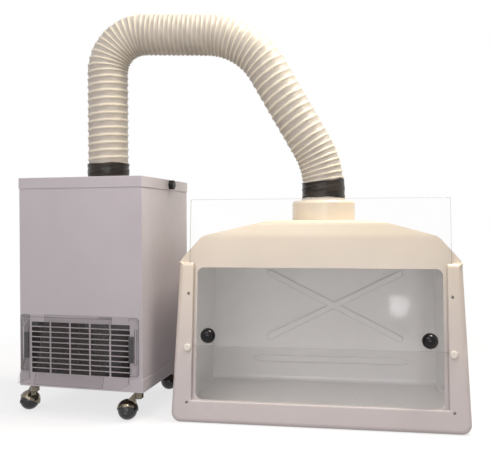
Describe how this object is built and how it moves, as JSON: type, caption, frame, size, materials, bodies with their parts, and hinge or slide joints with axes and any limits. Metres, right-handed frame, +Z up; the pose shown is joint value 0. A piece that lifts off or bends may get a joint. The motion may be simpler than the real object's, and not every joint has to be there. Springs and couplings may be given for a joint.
{
  "type": "ductless fume hood",
  "caption": "Moulded fume hood with a clear lift sash, joined by a flexible duct to a filter and blower cabinet on ball casters, with a clear air deflector.",
  "frame": {"origin": "on the floor, at the middle of the hood's flat underside", "axes": "+X to the user's right, from the cabinet to the hood; +Y from the front to the back; +Z up"},
  "size_m": [1.17, 0.4941, 1.0899],
  "materials": {
    "hood_plastic": "satin moulded polyethylene",
    "clear_sheet": "clear acrylic",
    "knob_black": "gloss",
    "peg_nylon": "satin nylon",
    "ring_plastic": "satin",
    "duct_hose": "coated fabric over a wire helix",
    "black_tape": "semi-gloss tape",
    "cabinet_paint": "fine textured powder coat",
    "galvanised": "galvanised",
    "steel": "zinc plated",
    "gasket_foam": "closed-cell foam",
    "filter_bed": "pleated fibre",
    "impeller_plastic": "satin",
    "motor_paint": "satin",
    "black_plastic": "satin",
    "magnet_strip": "flexible magnet",
    "caster_chrome": "bright plated",
    "caster_rubber": "satin"
  },
  "bodies": {
    "frame": {"hood_shell": "hood_plastic", "outlet_ring": "ring_plastic", "start_collar": "galvanised", "duct_tape_cabinet": "black_tape", "duct_tape_hood": "black_tape", "cabinet_pan": "cabinet_paint", "cabinet_wrap": "cabinet_paint", "front_panel": "cabinet_paint", "cabinet_lid": "cabinet_paint", "lid_gasket": "gasket_foam", "filter_ledge": "galvanised", "filter_case": "galvanised", "filter_media": "filter_bed", "prefilter": "filter_bed", "blower_deck": "galvanised", "blower_scroll": "galvanised", "blower_motor": "motor_paint", "power_inlet": "black_plastic", "switch_bezel": "black_plastic", "deflector_left": "clear_sheet", "magnet_left": "magnet_strip", "weld_nut_left": "steel", "weld_nut_right": "steel", "duct_riser": "duct_hose", "duct_first_bend": "duct_hose", "duct_top_run": "duct_hose", "duct_second_bend": "duct_hose", "duct_fall": "duct_hose", "duct_hood_bend": "duct_hose", "caster_front_left_stem": "steel", "caster_front_right_stem": "steel", "caster_rear_left_stem": "steel", "caster_rear_right_stem": "steel"},
    "sash": {"sash": "clear_sheet", "sash_knob_left": "knob_black", "sash_knob_right": "knob_black", "sash_screw_left": "steel", "sash_screw_right": "steel"},
    "peg_left": {"sash_peg_left": "peg_nylon"},
    "peg_right": {"sash_peg_right": "peg_nylon"},
    "thumb_left": {"thumb_knob_left": "black_plastic"},
    "thumb_right": {"thumb_knob_right": "black_plastic"},
    "deflector": {"deflector_right": "clear_sheet", "magnet_right": "magnet_strip"},
    "rotor": {"impeller": "impeller_plastic", "impeller_disc": "impeller_plastic", "motor_shaft": "steel"},
    "rocker": {"switch_rocker": "black_plastic"},
    "caster_front_left": {"caster_front_left_hood": "caster_chrome", "caster_front_left_axle": "steel"},
    "ball_front_left": {"caster_front_left_ball": "caster_rubber"},
    "caster_front_right": {"caster_front_right_hood": "caster_chrome", "caster_front_right_axle": "steel"},
    "ball_front_right": {"caster_front_right_ball": "caster_rubber"},
    "caster_rear_left": {"caster_rear_left_hood": "caster_chrome", "caster_rear_left_axle": "steel"},
    "ball_rear_left": {"caster_rear_left_ball": "caster_rubber"},
    "caster_rear_right": {"caster_rear_right_hood": "caster_chrome", "caster_rear_right_axle": "steel"},
    "ball_rear_right": {"caster_rear_right_ball": "caster_rubber"}
  },
  "joints": [
    {"name": "sash_slide", "type": "slide", "parent": "frame", "child": "sash", "axis": [0, 0.1028, 0.9947], "range_m": [0, 0.146]},
    {"name": "peg_left_pull", "type": "slide", "parent": "frame", "child": "peg_left", "axis": [0, -0.9947, 0.1028], "range_m": [0, 0.022]},
    {"name": "peg_right_pull", "type": "slide", "parent": "frame", "child": "peg_right", "axis": [0, -0.9947, 0.1028], "range_m": [0, 0.022]},
    {"name": "thumb_left_turn", "type": "hinge", "parent": "frame", "child": "thumb_left", "pos_m": [-0.76224, -0.00534, 0.6105], "axis": [-0.9962, 0.0872, 0], "range_deg": [-30, 30]},
    {"name": "thumb_right_turn", "type": "hinge", "parent": "frame", "child": "thumb_right", "pos_m": [-0.41357, -0.03584, 0.6105], "axis": [0.9962, -0.0872, 0], "range_deg": [-30, 30]},
    {"name": "deflector_slide", "type": "slide", "parent": "frame", "child": "deflector", "axis": [0.9962, -0.0872, 0], "range_m": [-0.015, 0.008]},
    {"name": "rotor_spin", "type": "hinge", "parent": "frame", "child": "rotor", "pos_m": [-0.57639, -0.02662, 0.18], "axis": [0, 0, 1], "continuous": true},
    {"name": "rocker_tip", "type": "hinge", "parent": "frame", "child": "rocker", "pos_m": [-0.64011, 0.12853, 0.15], "axis": [0, 0, 1], "range_deg": [0, 16]},
    {"name": "swivel_front_left", "type": "hinge", "parent": "frame", "child": "caster_front_left", "pos_m": [-0.75163, -0.17089, 0.06], "axis": [0, 0, 1], "continuous": true},
    {"name": "roll_front_left", "type": "hinge", "parent": "caster_front_left", "child": "ball_front_left", "pos_m": [-0.77621, -0.15369, 0.025], "axis": [-0.5736, -0.8192, 0], "continuous": true},
    {"name": "swivel_front_right", "type": "hinge", "parent": "frame", "child": "caster_front_right", "pos_m": [-0.45277, -0.19704, 0.06], "axis": [0, 0, 1], "continuous": true},
    {"name": "roll_front_right", "type": "hinge", "parent": "caster_front_right", "child": "ball_front_right", "pos_m": [-0.48248, -0.20122, 0.025], "axis": [0.1392, -0.9903, 0], "continuous": true},
    {"name": "swivel_rear_left", "type": "hinge", "parent": "frame", "child": "caster_rear_left", "pos_m": [-0.72723, 0.10804, 0.06], "axis": [0, 0, 1], "continuous": true},
    {"name": "roll_rear_left", "type": "hinge", "parent": "caster_rear_left", "child": "ball_rear_left", "pos_m": [-0.75542, 0.09778, 0.025], "axis": [0.342, -0.9397, 0], "continuous": true},
    {"name": "swivel_rear_right", "type": "hinge", "parent": "frame", "child": "caster_rear_right", "pos_m": [-0.42837, 0.08189, 0.06], "axis": [0, 0, 1], "continuous": true},
    {"name": "roll_rear_right", "type": "hinge", "parent": "caster_rear_right", "child": "ball_rear_right", "pos_m": [-0.45556, 0.09457, 0.025], "axis": [-0.4226, -0.9063, 0], "continuous": true}
  ]
}
